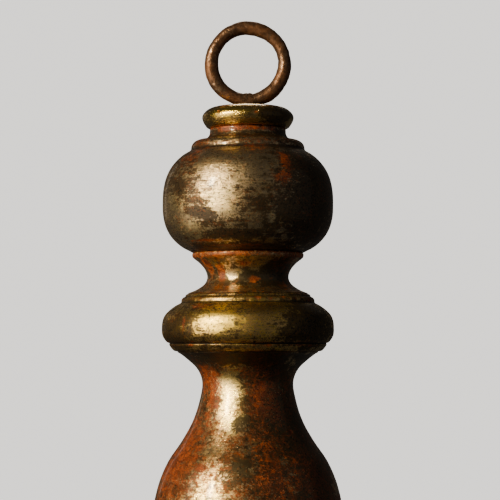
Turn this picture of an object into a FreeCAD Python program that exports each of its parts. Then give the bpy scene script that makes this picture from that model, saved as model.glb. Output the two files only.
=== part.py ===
import FreeCAD, Part
import math
import os

# Hanging pendant: turned sections of gilded wood strung on one iron rod.
#
# The rod's top end is forged into a closed loop, which a hook, ring or cord goes through. A nut near the
# rod's bottom end carries the whole stack through a washer, and a turned drop screws on below and hides it.
# Each section is centred on the next by a round tenon in a socket. The rod runs free in the wood, and the
# washer let into the top keeps the stack central on it, so the stack can be turned under the loop.
#
# Millimetres. +Z is up, and the loop lies in the plane y = 0. The origin is the inside of the loop's crown,
# where a hook bears. Every section hangs below it, so its heights are negative.

# ---- Driving dimensions ----
BAR_R = 3.0                 # the iron bar that the loop and rod are forged from
LOOP_MEAN_R = 17.6          # from the loop's centre to the bar's centreline
LOOP_NECK_R = 5.0           # centreline radius of the two bends where the loop closes on the rod
HEEL_GAP = 0.5              # from the loop's heel to the top of the cap

CAP_HEIGHT = 10.2
BALL_HEIGHT = 59.9
SPOOL_HEIGHT = 19.7
COLLAR_HEIGHT = 27.6
PEAR_HEIGHT = 124.0
FOOT_HEIGHT = 13.4
DROP_HEIGHT = 32.0

CAP_R = 22.1
BALL_R = 41.0
SPOOL_BAND_R = 26.9
SPOOL_THROAT_R = 19.5
COLLAR_R = 41.2
PEAR_NECK_R = 21.7
PEAR_R = 46.0
FOOT_BEAD_R = 21.5
DROP_R = 15.0
DROP_BEAD_R = 3.4

# ---- Fits ----
BORE_R = 3.5                # hole through the wood, well clear of the rod
GUIDE_CLEARANCE = 0.08      # the rod in the washers, a running fit
THREAD_CLEARANCE = 0.05     # the rod in the nut and in the drop's ferrule
TENON_R = 8.0
TENON_LENGTH = 5.0
GLUE_GAP = 0.15             # round a tenon
SOCKET_DEPTH = 5.4
SEAM = 0.3                  # between the foot collar and the drop, which do not turn together

# ---- Ironwork ----
TOP_WASHER_R = 11.0
TOP_WASHER_THICKNESS = 2.0  # let into the cap, level with its top
EASE_DEPTH = 1.2            # the top washer's hole is eased above, where the loop's limbs begin to spread
EASE_WIDTH = 0.5
CLAMP_WASHER_R = 7.8
CLAMP_WASHER_THICKNESS = 1.5
NUT_ACROSS_FLATS = 10.0
NUT_HEIGHT = 4.5
NUT_BEVEL = 0.7
NUT_RECESS_R = 8.4
NUT_RECESS_SPARE = 0.5      # from the nut's lower face to the foot collar's
FERRULE_R = 5.0
FERRULE_LENGTH = 10.5
ROD_END_BEVEL = 0.6
DROP_BORE_SPARE = 0.5       # past the ferrule's lower end

# ---- Levels, from the top down ----
LOOP_CENTRE_Z = -(LOOP_MEAN_R - BAR_R)
CAP_TOP = LOOP_CENTRE_Z - LOOP_MEAN_R - BAR_R - HEEL_GAP
BALL_TOP = CAP_TOP - CAP_HEIGHT
SPOOL_TOP = BALL_TOP - BALL_HEIGHT
COLLAR_TOP = SPOOL_TOP - SPOOL_HEIGHT
PEAR_TOP = COLLAR_TOP - COLLAR_HEIGHT
FOOT_TOP = PEAR_TOP - PEAR_HEIGHT
FOOT_BOTTOM = FOOT_TOP - FOOT_HEIGHT
NUT_BOTTOM = FOOT_BOTTOM + NUT_RECESS_SPARE
NUT_TOP = NUT_BOTTOM + NUT_HEIGHT
CLAMP_TOP = NUT_TOP + CLAMP_WASHER_THICKNESS
DROP_TOP = FOOT_BOTTOM - SEAM
FERRULE_BOTTOM = NUT_BOTTOM - FERRULE_LENGTH

# A swelling side is a quarter of |r/a|^p + |z/b|^p = 1: a power over 2 makes it squarer than an ellipse.
BALL_POWER = 2.6
PEAR_POWER = 2.2

PARTS = "parts"
UP = FreeCAD.Vector(0, 0, 1)
ACROSS = FreeCAD.Vector(1, 0, 0)
ORIGIN = FreeCAD.Vector(0, 0, 0)


def at(r, z):
    """The point of a half section at a radius and a height."""
    return FreeCAD.Vector(r, 0, z)


class Section:
    """Half section of a turned piece, drawn edge by edge in the plane y = 0 and then turned about Z.

    Every point is a radius and a depth below the piece's own top.
    """

    def __init__(self, top, r, depth):
        self.top = top
        self.start = at(r, top - depth)
        self.here = self.start
        self.edges = []

    def line(self, r, depth):
        """Add a straight edge."""
        end = at(r, self.top - depth)
        self.edges.append(Part.LineSegment(self.here, end).toShape())
        self.here = end
        return self

    def arc(self, through, to):
        """Add a round edge through one point to another."""
        end = at(to[0], self.top - to[1])
        middle = at(through[0], self.top - through[1])
        self.edges.append(Part.Arc(self.here, middle, end).toShape())
        self.here = end
        return self

    def curve(self, points, leave, arrive):
        """Add a smooth edge through the points, given the directions that it leaves and arrives in."""
        knots = [self.here] + [at(r, self.top - depth) for r, depth in points]
        spline = Part.BSplineCurve()
        spline.interpolate(knots, InitialTangent=at(leave[0], -leave[1]), FinalTangent=at(arrive[0], -arrive[1]))
        self.edges.append(spline.toShape())
        self.here = knots[-1]
        return self

    def turned(self):
        """Close the outline with a straight edge and turn it into a solid."""
        self.edges.append(Part.LineSegment(self.here, self.start).toShape())
        return Part.Face(Part.Wire(self.edges)).revolve(ORIGIN, UP, 360)


def swelling(half_width, half_height, power, r_end, steps):
    """Points of a swelling side as (radius, distance from its widest level), from there to radius r_end."""
    end = math.acos((r_end / half_width) ** (power / 2))
    points = []
    for step in range(1, steps + 1):
        angle = end * step / steps
        r = half_width * math.cos(angle) ** (2 / power)
        distance = half_height * math.sin(angle) ** (2 / power)
        points.append((r, distance))
    return points


def tube(outer_r, inner_r, bottom, top):
    """A round tube, or a disc with a hole, between two levels."""
    outer = Part.makeCylinder(outer_r, top - bottom, at(0, bottom), UP)
    return outer.cut(Part.makeCylinder(inner_r, top - bottom, at(0, bottom), UP))


def tenon_above(piece, level):
    """The piece with a bored tenon standing on its top."""
    return piece.fuse(tube(TENON_R, BORE_R, level, level + TENON_LENGTH)).removeSplitter()


def tenon_below(piece, level):
    """The piece with a bored tenon hanging from its bottom."""
    return piece.fuse(tube(TENON_R, BORE_R, level - TENON_LENGTH, level)).removeSplitter()


def socket_above(piece, level):
    """The piece with a socket in its top."""
    return piece.cut(Part.makeCylinder(TENON_R + GLUE_GAP, SOCKET_DEPTH, at(0, level - SOCKET_DEPTH), UP))


def socket_below(piece, level):
    """The piece with a socket in its bottom."""
    return piece.cut(Part.makeCylinder(TENON_R + GLUE_GAP, SOCKET_DEPTH, at(0, level), UP))


def make_eye_rod():
    """The forged bar: a closed loop whose two limbs bend down into one rod, which runs through the stack."""
    lean = math.asin(LOOP_NECK_R / (LOOP_MEAN_R + LOOP_NECK_R))
    neck_z = LOOP_CENTRE_Z - (LOOP_MEAN_R + LOOP_NECK_R) * math.cos(lean)
    lean = math.degrees(lean)
    # A torus is made lying flat, with its stretch of the ring starting at +X, and then stood up.
    loop = Part.makeTorus(LOOP_MEAN_R, BAR_R, ORIGIN, UP, -180, 180, 360 - 2 * lean)
    loop.rotate(ORIGIN, UP, lean - 90)
    bend = Part.makeTorus(LOOP_NECK_R, BAR_R, ORIGIN, UP, -180, 180, 90 - lean)
    for shape in (loop, bend):
        shape.rotate(ORIGIN, ACROSS, 90)
    loop.translate(at(0, LOOP_CENTRE_Z))
    bend.translate(at(-LOOP_NECK_R, neck_z))
    # The two bends would run through each other, so each keeps its own side of the middle.
    side = 2 * LOOP_MEAN_R
    left_side = Part.makeBox(side, side, side, FreeCAD.Vector(-side, -side / 2, neck_z - side / 2))
    left_bend = bend.common(left_side)
    right_bend = left_bend.mirror(ORIGIN, ACROSS)
    length = neck_z - (FERRULE_BOTTOM + ROD_END_BEVEL)
    rod = Section(neck_z, 0, 0).line(BAR_R, 0).line(BAR_R, length - ROD_END_BEVEL)
    rod.line(BAR_R - ROD_END_BEVEL, length).line(0, length)
    return loop.fuse([left_bend, right_bend, rod.turned()]).removeSplitter()


def make_top_washer():
    """The iron washer let into the cap, which guides the rod and takes the rub of the loop's heel."""
    hole_r = BAR_R + GUIDE_CLEARANCE
    section = Section(CAP_TOP, hole_r, TOP_WASHER_THICKNESS).line(TOP_WASHER_R, TOP_WASHER_THICKNESS)
    section.line(TOP_WASHER_R, 0).line(hole_r + EASE_WIDTH, 0).line(hole_r, EASE_DEPTH)
    return section.turned()


def make_cap():
    """The bun-shaped top section, with the washer's recess above and a socket below."""
    section = Section(CAP_TOP, BORE_R, TOP_WASHER_THICKNESS)
    section.line(TOP_WASHER_R, TOP_WASHER_THICKNESS).line(TOP_WASHER_R, 0).line(CAP_R - 6.6, 0)
    section.curve([(CAP_R - 2.2, 1.6), (CAP_R, 4.7), (CAP_R - 0.7, 7.3), (CAP_R - 2.1, 9.5)], (1, 0.1), (-0.6, 1))
    section.arc((CAP_R - 2.6, CAP_HEIGHT - 0.2), (CAP_R - 3.4, CAP_HEIGHT)).line(BORE_R, CAP_HEIGHT)
    return socket_below(section.turned(), BALL_TOP)


def make_ball():
    """The ball, with a neck band, a cove and a rounded fillet above it."""
    widest = 36.7
    upper = 30.7
    lower = 27.1
    band_r = 18.3
    fillet_r = 27.4
    shoulder = swelling(BALL_R, upper, BALL_POWER, fillet_r, 6)
    shoulder = [(r, widest - distance) for r, distance in reversed(shoulder)]
    flank = swelling(BALL_R, lower, BALL_POWER, SPOOL_BAND_R, 6)
    flank = [(r, widest + distance) for r, distance in flank]
    section = Section(BALL_TOP, BORE_R, 0).line(band_r, 0).line(band_r, 2.5)
    section.arc((19.6, 4.7), (23.3, 5.9))
    section.arc((25.9, 6.8), (27.3, 9.0)).line(*shoulder[0])
    section.curve(shoulder[1:] + [(BALL_R, widest)], (1, 0.75), (0, 1))
    section.curve(flank, (0, 1), (-1, 0.75)).line(SPOOL_BAND_R, BALL_HEIGHT).line(BORE_R, BALL_HEIGHT)
    return socket_below(tenon_above(section.turned(), BALL_TOP), SPOOL_TOP)


def make_spool():
    """The spool between ball and collar: a narrow band, then a deep hollow that flares out to the collar."""
    throat = 11.8
    section = Section(SPOOL_TOP, BORE_R, 0).line(SPOOL_BAND_R - 0.3, 0)
    section.arc((SPOOL_BAND_R, 1.2), (SPOOL_BAND_R - 0.3, 2.4)).line(SPOOL_BAND_R - 0.7, 2.7)
    section.curve([(22.9, 5.4), (20.5, 8.4), (SPOOL_THROAT_R, throat)], (-1, 0.85), (0, 1))
    section.curve([(20.5, 14.6), (23.2, 16.9), (29.5, SPOOL_HEIGHT)], (0, 1), (1, 0.35))
    section.line(BORE_R, SPOOL_HEIGHT)
    return tenon_below(tenon_above(section.turned(), SPOOL_TOP), COLLAR_TOP)


def make_collar():
    """The wide collar: two stepped fillets, a bun, and a raked band below a groove."""
    groove_r = 37.4
    section = Section(COLLAR_TOP, BORE_R, 0).line(29.5, 0)
    section.arc((30.1, 0.7), (29.8, 1.5)).line(31.0, 1.7)
    section.arc((31.9, 2.8), (32.0, 4.0)).line(31.8, 4.3)
    section.curve([(36.6, 7.1), (40.1, 10.8), (COLLAR_R, 15.6)], (1, 0.42), (0, 1))
    section.curve([(40.9, 20.0), (38.5, 23.4)], (0, 1), (-1, 0.85))
    section.line(groove_r, 23.6).line(groove_r, 23.9).line(groove_r + 0.5, 24.1)
    section.arc((36.8, 25.8), (35.1, COLLAR_HEIGHT)).line(BORE_R, COLLAR_HEIGHT)
    return socket_below(socket_above(section.turned(), COLLAR_TOP), PEAR_TOP)


def make_pear():
    """The pear-shaped section: hollowed under the collar, narrow at the neck and full at the belly."""
    neck = 15.4
    belly = 85.6
    lower = 40.0
    foot_r = 19.0
    base = [(r, belly + distance) for r, distance in swelling(PEAR_R, lower, PEAR_POWER, foot_r, 7)]
    section = Section(PEAR_TOP, BORE_R, 0).line(34.5, 0)
    section.curve([(28.3, 4.2), (24.2, 8.2), (22.3, 11.9), (PEAR_NECK_R, neck)], (-1, 0.35), (0, 1))
    shoulder = [(23.0, 23.1), (26.1, 32.7), (31.6, 42.8), (37.8, 51.9), (42.1, 61.5), (44.9, 73.0)]
    section.curve(shoulder + [(PEAR_R, belly)], (0, 1), (0, 1))
    section.curve(base, (0, 1), (-1, 0.35)).line(foot_r, PEAR_HEIGHT).line(BORE_R, PEAR_HEIGHT)
    return socket_below(tenon_above(section.turned(), PEAR_TOP), FOOT_TOP)


def make_foot_collar():
    """The small collar under the pear: a fillet, a cove, a bead and a lower fillet, recessed for the nut."""
    fillet_r = 20.6
    bead_edge_r = 18.2
    section = Section(FOOT_TOP, BORE_R, 0).line(fillet_r - 0.4, 0)
    section.arc((fillet_r, 0.9), (fillet_r - 0.4, 1.8)).line(fillet_r - 1.6, 2.0)
    section.arc((16.6, 3.8), (bead_edge_r, 5.8))
    section.arc((FOOT_BEAD_R, 8.7), (bead_edge_r, 11.6)).line(16.8, 11.9).line(16.4, FOOT_HEIGHT)
    section.line(NUT_RECESS_R, FOOT_HEIGHT).line(NUT_RECESS_R, FOOT_TOP - CLAMP_TOP)
    section.line(BORE_R, FOOT_TOP - CLAMP_TOP)
    return tenon_above(section.turned(), FOOT_TOP)


def make_clamp_washer():
    """The washer on the nut, which carries the stack."""
    return tube(CLAMP_WASHER_R, BAR_R + GUIDE_CLEARANCE, NUT_TOP, CLAMP_TOP)


def make_clamp_nut():
    """The square nut on the rod, with the corners of its lower face bevelled."""
    half = NUT_ACROSS_FLATS / 2
    corner_r = half * math.sqrt(2)
    block = Part.makeBox(NUT_ACROSS_FLATS, NUT_ACROSS_FLATS, NUT_HEIGHT, FreeCAD.Vector(-half, -half, NUT_BOTTOM))
    blank = Section(NUT_TOP, 0, 0).line(corner_r, 0).line(corner_r, NUT_HEIGHT - NUT_BEVEL)
    blank.line(corner_r - 2 * NUT_BEVEL, NUT_HEIGHT).line(0, NUT_HEIGHT)
    hole = Part.makeCylinder(BAR_R + THREAD_CLEARANCE, NUT_HEIGHT, at(0, NUT_BOTTOM), UP)
    return block.common(blank.turned()).cut(hole)


def make_drop_ferrule():
    """The iron sleeve set in the drop, which screws onto the rod's end and locks the nut."""
    return tube(FERRULE_R, BAR_R + THREAD_CLEARANCE, FERRULE_BOTTOM, NUT_BOTTOM)


def make_drop():
    """The turned drop that ends the pendant: a fillet, a cove, an onion and a small bead at the tip."""
    bore_depth = DROP_TOP - FERRULE_BOTTOM + DROP_BORE_SPARE
    onion_end_r = 3.0
    bead_centre = DROP_HEIGHT - DROP_BEAD_R
    bead_start = bead_centre - math.sqrt(DROP_BEAD_R ** 2 - onion_end_r ** 2)
    section = Section(DROP_TOP, FERRULE_R, 0).line(15.0, 0)
    section.arc((15.5, 0.9), (15.0, 1.8)).line(14.0, 2.0)
    section.curve([(11.5, 3.6), (10.6, 6.0)], (-1, 0.35), (0, 1))
    section.curve([(12.4, 9.2), (DROP_R, 14.4)], (0.4, 1), (0, 1))
    section.curve([(12.9, 19.8), (7.4, 24.0), (onion_end_r, bead_start)], (0, 1), (-0.6, 1))
    section.arc((DROP_BEAD_R, bead_centre), (0, DROP_HEIGHT)).line(0, bore_depth).line(FERRULE_R, bore_depth)
    return section.turned()


NODES = {
    "eye_rod": make_eye_rod,
    "top_washer": make_top_washer,
    "cap": make_cap,
    "ball": make_ball,
    "spool": make_spool,
    "collar": make_collar,
    "pear": make_pear,
    "foot_collar": make_foot_collar,
    "clamp_washer": make_clamp_washer,
    "clamp_nut": make_clamp_nut,
    "drop_ferrule": make_drop_ferrule,
    "drop": make_drop,
}

os.makedirs(PARTS, exist_ok=True)
for name, make in NODES.items():
    shape = make()
    shape.exportStep(f"{PARTS}/{name}.step")
    box = shape.BoundBox
    print(
        f"{name}: {len(shape.Solids)} solid, valid {shape.isValid()}, {shape.Volume / 1000:.2f} cm3,"
        f" z {box.ZMin:.2f} to {box.ZMax:.2f}"
    )
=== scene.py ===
import logging
import math
import random
from collections.abc import Iterable, Sequence
from dataclasses import dataclass, field, replace
from enum import Enum

import bmesh
import bpy
from mathutils import Matrix, Vector, noise


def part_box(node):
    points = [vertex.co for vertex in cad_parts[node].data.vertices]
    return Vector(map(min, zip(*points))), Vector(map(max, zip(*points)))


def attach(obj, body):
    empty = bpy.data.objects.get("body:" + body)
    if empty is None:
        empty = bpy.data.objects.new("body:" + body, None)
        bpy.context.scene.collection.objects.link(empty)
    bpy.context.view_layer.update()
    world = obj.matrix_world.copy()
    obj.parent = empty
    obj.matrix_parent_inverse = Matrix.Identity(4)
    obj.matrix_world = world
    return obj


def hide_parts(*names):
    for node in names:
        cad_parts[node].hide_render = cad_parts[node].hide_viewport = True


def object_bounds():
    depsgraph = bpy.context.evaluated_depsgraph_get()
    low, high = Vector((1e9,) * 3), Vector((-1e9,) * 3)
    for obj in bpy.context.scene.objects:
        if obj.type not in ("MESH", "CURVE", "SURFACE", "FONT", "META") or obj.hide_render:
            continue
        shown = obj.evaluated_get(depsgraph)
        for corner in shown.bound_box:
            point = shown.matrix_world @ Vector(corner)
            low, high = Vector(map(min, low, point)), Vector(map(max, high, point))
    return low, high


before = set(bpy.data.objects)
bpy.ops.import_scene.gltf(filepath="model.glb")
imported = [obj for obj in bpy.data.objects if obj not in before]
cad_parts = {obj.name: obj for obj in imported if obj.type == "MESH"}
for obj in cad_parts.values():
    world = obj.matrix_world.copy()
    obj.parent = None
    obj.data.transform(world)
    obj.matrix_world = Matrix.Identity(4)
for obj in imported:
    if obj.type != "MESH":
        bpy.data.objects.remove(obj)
cad_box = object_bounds()

LOG = logging.getLogger("pendant")
MM = 0.001
UP = Vector((0, 0, 1))
Point = tuple[float, float]
Colour = tuple[float, float, float]
Socket = bpy.types.NodeSocket


class Body(Enum):
    """The bodies of the frame that a piece can ride on."""

    ROD_GROUP = "rod_group"
    TURNED_STACK = "turned_stack"


class Slot(Enum):
    """The record's material slots."""

    FORGED_IRON = "forged_iron"
    GOLD_LEAF = "gold_leaf"
    SILVER_LEAF = "silver_leaf"
    WORN_LEAF = "worn_leaf_on_bole"


class Mark(Enum):
    """What age has done to a surface, the bends of its outline, and where painted highlights and painted shade go.
    Each is an attribute of the mesh, which the finishes read.
    """

    RUB = "rub"
    TARNISH_AND_SHADE = "tarnish"
    GILT_AND_HIGHLIGHT = "gilt"
    CREST = "crest"
    HOLLOW = "hollow"


# ---- Finishes ----


class Bench:
    """The node tree of one material, with a short call for each kind of node that the finishes use."""

    def __init__(self, name: str) -> None:
        """Start a material that holds only its shader.

        Args:
            name: The material's name.
        """
        self.material = bpy.data.materials.new(name)
        self.material.use_nodes = True
        self.tree = self.material.node_tree
        self.tree.nodes.clear()
        self.shader = self.tree.nodes.new("ShaderNodeBsdfPrincipled")
        output = self.tree.nodes.new("ShaderNodeOutputMaterial")
        self.tree.links.new(self.shader.outputs[0], output.inputs["Surface"])
        self.coords = self.tree.nodes.new("ShaderNodeTexCoord").outputs["Object"]

    def feed(self, socket: Socket, value: object) -> None:
        """Link a socket to another, or set its own value.

        Args:
            socket: The input to fill.
            value: An output socket, a number or a colour.
        """
        if isinstance(value, Socket):
            self.tree.links.new(value, socket)
        elif isinstance(value, tuple) and socket.type == "RGBA":
            socket.default_value = (*value, 1.0)
        else:
            socket.default_value = value

    def stretched(self, x: float, y: float, z: float) -> Socket:
        """Coordinates whose pattern is squeezed along each axis by these factors."""
        node = self.tree.nodes.new("ShaderNodeMapping")
        self.feed(node.inputs["Vector"], self.coords)
        node.inputs["Scale"].default_value = (x, y, z)
        return node.outputs[0]

    def cloud(
        self,
        scale: float,
        detail: float = 4.0,
        roughness: float = 0.55,
        where: Socket | None = None,
        distortion: float = 0.0,
    ) -> Socket:
        """Add a noise texture.

        Args:
            scale: Features per metre.
            detail: Octaves.
            roughness: How strong each finer octave is.
            where: Coordinates, or the object's own.
            distortion: How far the pattern is swirled.

        Returns:
            Its value, about 0.5 on average.
        """
        node = self.tree.nodes.new("ShaderNodeTexNoise")
        self.feed(node.inputs["Vector"], where or self.coords)
        node.inputs["Scale"].default_value = scale
        node.inputs["Detail"].default_value = detail
        node.inputs["Roughness"].default_value = roughness
        node.inputs["Distortion"].default_value = distortion
        return node.outputs["Fac"]

    def mark(self, mark: Mark) -> Socket:
        """The value of one of the mesh's wear attributes."""
        node = self.tree.nodes.new("ShaderNodeAttribute")
        node.attribute_name = mark.value
        return node.outputs["Fac"]

    def maths(self, operation: str, a: object, b: object = 0.0) -> Socket:
        """One sum of two values.

        Args:
            operation: Blender's name for it.
            a: A socket or number.
            b: A socket or number.

        Returns:
            The result, not clamped.
        """
        node = self.tree.nodes.new("ShaderNodeMath")
        node.operation = operation
        self.feed(node.inputs[0], a)
        self.feed(node.inputs[1], b)
        return node.outputs[0]

    def times(self, value: object, share: object) -> Socket:
        """The product of two values."""
        return self.maths("MULTIPLY", value, share)

    def total(self, *weighted: tuple[object, float]) -> Socket:
        """The sum of several values, each times its weight."""
        result = None
        for value, weight in weighted:
            part = self.times(value, weight)
            result = part if result is None else self.maths("ADD", result, part)
        return result

    def step(self, value: object, low: float, high: float) -> Socket:
        """A smooth step from 0 at low to 1 at high, which may be the lower number."""
        node = self.tree.nodes.new("ShaderNodeMapRange")
        node.interpolation_type = "SMOOTHSTEP"
        self.feed(node.inputs["Value"], value)
        node.inputs["From Min"].default_value = low
        node.inputs["From Max"].default_value = high
        return node.outputs[0]

    def tint(self, share: object, a: object, b: object) -> Socket:
        """The colour a share of the way from a to b."""
        node = self.tree.nodes.new("ShaderNodeMix")
        node.data_type = "RGBA"
        self.feed(node.inputs["Factor"], share)
        self.feed(node.inputs[6], a)
        self.feed(node.inputs[7], b)
        return node.outputs[2]

    def mix(self, share: object, a: object, b: object) -> Socket:
        """The number a share of the way from a to b."""
        node = self.tree.nodes.new("ShaderNodeMix")
        node.data_type = "FLOAT"
        self.feed(node.inputs[0], share)
        self.feed(node.inputs[2], a)
        self.feed(node.inputs[3], b)
        return node.outputs[0]

    def relief(self, height: object, depth_mm: float, under: object | None = None) -> Socket:
        """Add a bump.

        Args:
            height: A value from 0 to 1.
            depth_mm: How deep the whole range is.
            under: The normal of a bump beneath.

        Returns:
            The bumped normal.
        """
        node = self.tree.nodes.new("ShaderNodeBump")
        node.inputs["Distance"].default_value = depth_mm * MM
        self.feed(node.inputs["Height"], height)
        if under is not None:
            self.feed(node.inputs["Normal"], under)
        return node.outputs[0]

    def finish(self, **sockets: object) -> bpy.types.Material:
        """Fill the shader's sockets, given by name with underscores, and return the material."""
        for name, value in sockets.items():
            self.feed(self.shader.inputs[name.replace("_", " ").title()], value)
        return self.material


# Where the sums of wear and of tarnish with painted shade begin and end to thin the leaf, to bare the ground and to
# dull the leaf.
THINS = (0.62, 0.72)
BARES = (0.71, 0.745)
DULLS = (0.605, 0.685)
# Near black, for the black specks of dirt and for the painted shade in the hollows.
SPECKS_AND_SHADE_BLACK = (0.010, 0.007, 0.005)


@dataclass(frozen=True)
class Clouds:
    """The noises that the parts of a leaf finish share, and the coordinates that are dragged round the piece."""

    dragged: Socket
    broad: Socket
    drift: Socket
    mottle: Socket
    fleck: Socket
    grain: Socket
    lathe: Socket
    hairs: Socket


@dataclass(frozen=True)
class LeafFinish:
    """Metal leaf on red bole over gesso and turned wood, tarnished, rubbed and varnished.

    The wear is a sum of clouds, ridges and marks. As it rises the leaf thins until the bole shows through it, and
    then it is gone. The tarnish is another such sum; its marks also paint shade on the side away from the key lamp.
    The hollows are painted darker as shade, and spots of paler leaf on the crests are painted glints. The lathe's
    lines and the hairs run round the piece.
    """

    name: str
    leaf: Colour
    second_leaf: Colour
    bole: Colour = (0.58, 0.155, 0.052)
    dark_bole: Colour = (0.150, 0.040, 0.020)
    tarnish: Colour = (0.070, 0.044, 0.022)
    wear: float = 0.0
    crest_wear: float = 0.22
    tarnishing: float = 0.0
    spots: float = 0.60
    specks: float = 0.62
    gloss: float = 0.34
    bare_roughness: float = 0.44
    least_roughness: float = 0.16
    drag: float = 1.9
    scoring: float = 0.16
    varnish: float = 0.50
    varnish_roughness: float = 0.13
    varnish_tint: Colour = (1.0, 0.94, 0.82)

    def clouds(self, bench: Bench) -> Clouds:
        """Add the shared noises."""
        dragged = bench.stretched(1, 1, self.drag)
        return Clouds(
            dragged=dragged,
            broad=bench.cloud(28, 3, 0.5),
            drift=bench.cloud(78, 6, 0.70, dragged, 0.5),
            mottle=bench.cloud(310, 6, 0.74, dragged, 0.6),
            fleck=bench.cloud(760, 5, 0.72, bench.stretched(1, 1, 1.2), 0.6),
            grain=bench.cloud(2300, 2, 0.6),
            lathe=bench.cloud(60, 6, 0.7, bench.stretched(1, 1, 26)),
            hairs=bench.cloud(110, 3, 0.6, bench.stretched(1, 1, 60)),
        )

    def losses(self, bench: Bench, clouds: Clouds, crest: Socket) -> tuple[Socket, Socket]:
        """How far the leaf has thinned, and how far it has gone."""
        worn = bench.total(
            (clouds.broad, 0.14),
            (clouds.drift, 0.18),
            (clouds.mottle, 0.30),
            (clouds.fleck, 0.54),
            (clouds.lathe, self.scoring),
            (0.5, 0.16 - self.scoring),
            (crest, self.crest_wear),
            (bench.mark(Mark.RUB), 0.30),
        )
        thin = bench.step(worn, *(limit - self.wear for limit in THINS))
        bare = bench.step(worn, *(limit - self.wear for limit in BARES))
        left_over = bench.step(bench.cloud(1250, 4, 0.74, bench.stretched(1, 1, 1.4)), 0.55, 0.59)
        return thin, bench.times(bare, bench.mix(left_over, 1.0, 0.25))

    def stains(self, bench: Bench, clouds: Clouds, hollow: Socket) -> tuple[Socket, Socket]:
        """How dull the leaf is, from tarnish and from painted shade, and how black with specks of dirt."""
        stained = bench.total(
            (bench.cloud(48, 6, 0.68, bench.stretched(1.1, 1, 1.5), 0.4), 0.36),
            (bench.cloud(230, 6, 0.76, clouds.dragged, 0.5), 0.44),
            (bench.cloud(900, 4, 0.74), 0.28),
            (clouds.lathe, 1.4 * self.scoring),
            (0.5, 0.22 - 1.4 * self.scoring),
            (hollow, 0.26),
            (bench.mark(Mark.TARNISH_AND_SHADE), 0.34),
        )
        dull = bench.step(stained, *(limit - self.tarnishing for limit in DULLS))
        spot = bench.step(bench.cloud(640, 6, 0.80, clouds.dragged), self.spots, self.spots + 0.05)
        dull = bench.maths("MAXIMUM", dull, bench.times(spot, 0.9))
        black = bench.total((bench.cloud(1100, 4, 0.75), 1.0), (stained, 0.35), (0.5, -0.44))
        return dull, bench.step(black, self.specks, self.specks + 0.04)

    def leaf_colour(self, bench: Bench, clouds: Clouds, thin: Socket, dull: Socket) -> Socket:
        """The leaf's colour, with the tarnish over it and the bole showing through it. The paler leaf goes where the
        gilt mark is high, for real pale patches and for painted highlights, and the tarnish carries painted shade
        too.
        """
        gilt = bench.total((clouds.mottle, 0.6), (clouds.drift, 0.4), (bench.mark(Mark.GILT_AND_HIGHLIGHT), 0.35))
        leaf = bench.tint(bench.step(gilt, 0.46, 0.64), self.leaf, self.second_leaf)
        leaf = bench.tint(bench.times(dull, 0.90), leaf, self.tarnish)
        return bench.tint(bench.times(thin, 0.34), leaf, self.bole)

    def ground_colour(self, bench: Bench, clouds: Clouds) -> Socket:
        """The bole's colour where the leaf has gone, darker where the tarnish mark is high: partly soiling, partly
        painted shade.
        """
        patchy = bench.step(bench.total((clouds.grain, 0.4), (clouds.mottle, 0.6)), 0.62, 0.42)
        # Painted shade as well as soiling: the bole darkens where the tarnish mark is high, which includes the side
        # away from the key lamp.
        soiled_and_painted_shade = bench.step(bench.mark(Mark.TARNISH_AND_SHADE), 0.10, 0.60)
        ground = bench.tint(patchy, self.bole, self.dark_bole)
        return bench.tint(bench.times(soiled_and_painted_shade, 0.75), ground, self.dark_bole)

    def normal(self, bench: Bench, clouds: Clouds, bare: Socket, black: Socket) -> Socket:
        """The relief, from the finest bump to the broadest."""
        normal = bench.relief(bench.total((bare, -0.35), (clouds.grain, 0.30), (black, -0.4)), 0.12)
        normal = bench.relief(bench.total((clouds.mottle, 0.6), (clouds.fleck, 0.4)), 0.24, normal)
        normal = bench.relief(bench.total((clouds.lathe, 0.7), (clouds.hairs, 0.3)), 0.16, normal)
        return bench.relief(clouds.broad, 1.5, normal)

    def material(self) -> bpy.types.Material:
        """Build the finish.

        Returns:
            The material.
        """
        bench = Bench(self.name)
        clouds = self.clouds(bench)
        crest, hollow = bench.mark(Mark.CREST), bench.mark(Mark.HOLLOW)
        thin, bare = self.losses(bench, clouds, crest)
        dull, black = self.stains(bench, clouds, hollow)

        colour = bench.tint(bare, self.leaf_colour(bench, clouds, thin, dull), self.ground_colour(bench, clouds))
        # Painted shade: the hollows of the outline are darkened towards near black, as if shade lay in them. The
        # black specks of dirt take the same colour.
        painted_hollow_shade = bench.times(bench.step(hollow, 0.0, 0.9), 0.85)
        specks_and_painted_shade = bench.maths("MAXIMUM", painted_hollow_shade, bench.times(black, 0.9))
        colour = bench.tint(specks_and_painted_shade, colour, SPECKS_AND_SHADE_BLACK)
        # Painted glints: spots of the paler leaf colour along the crests, where a highlight would catch.
        painted_glint = bench.times(bench.step(crest, 0.35, 0.8), bench.step(bench.cloud(520, 3, 0.7), 0.57, 0.61))
        colour = bench.tint(bench.times(painted_glint, 0.6), colour, self.second_leaf)

        metal = bench.times(bench.mix(bare, 1.0, 0.0), bench.mix(dull, 1.0, 0.72))
        metal = bench.times(metal, bench.mix(specks_and_painted_shade, 1.0, 0.3))
        rough = bench.mix(dull, self.gloss, self.gloss + 0.12)
        rough = bench.mix(bare, rough, self.bare_roughness)
        rough = bench.maths("ADD", rough, bench.total((clouds.hairs, 0.18), (clouds.fleck, 0.22), (0.5, -0.40)))
        return bench.finish(
            base_color=colour,
            metallic=metal,
            roughness=bench.maths("MAXIMUM", rough, self.least_roughness),
            normal=self.normal(bench, clouds, bare, black),
            coat_weight=self.varnish,
            coat_roughness=self.varnish_roughness,
            coat_tint=self.varnish_tint,
        )


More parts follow.
